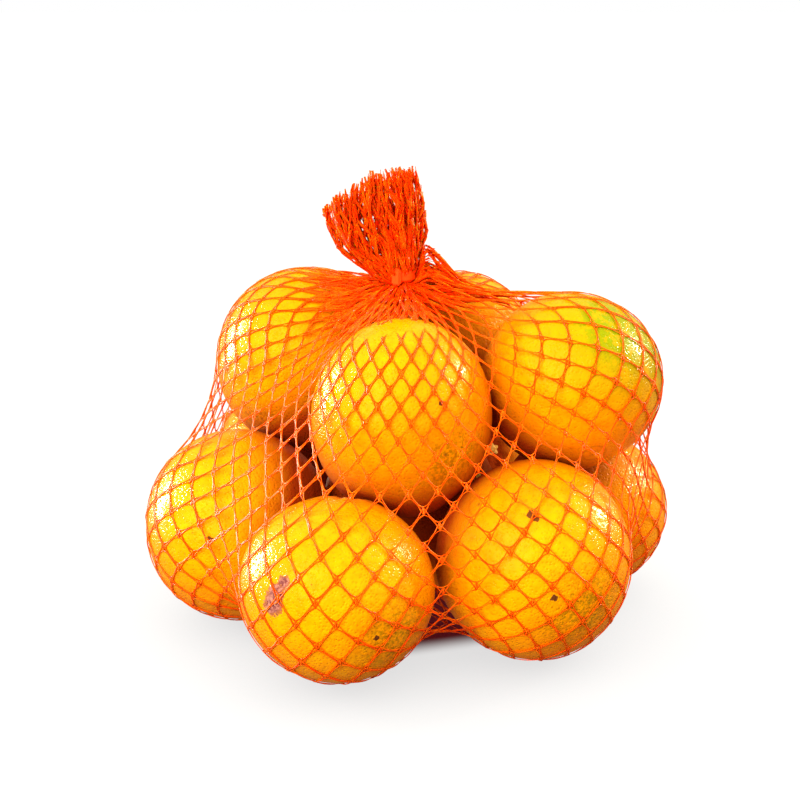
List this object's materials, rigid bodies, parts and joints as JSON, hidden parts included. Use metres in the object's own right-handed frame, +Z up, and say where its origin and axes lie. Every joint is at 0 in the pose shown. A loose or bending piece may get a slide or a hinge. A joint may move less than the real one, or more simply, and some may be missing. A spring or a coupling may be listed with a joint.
{
  "type": "net of oranges",
  "caption": "Knitted tube net drawn tight round a heap of oranges, gathered and clipped on top with a flared cut end.",
  "frame": {"origin": "centre of the heap's box on the surface it stands on", "axes": "+Z up, -Y towards the front, +X to the right seen from the front"},
  "size_m": [0.2264, 0.2462, 0.19],
  "materials": {
    "netting": "knitted polyethylene netting, orange",
    "clip": "moulded plastic, orange",
    "orange_peel": "waxed orange peel"
  },
  "bodies": {
    "root": {"filled_net": "netting", "net_tail": "netting", "neck_clip": "clip"}
  },
  "joints": []
}
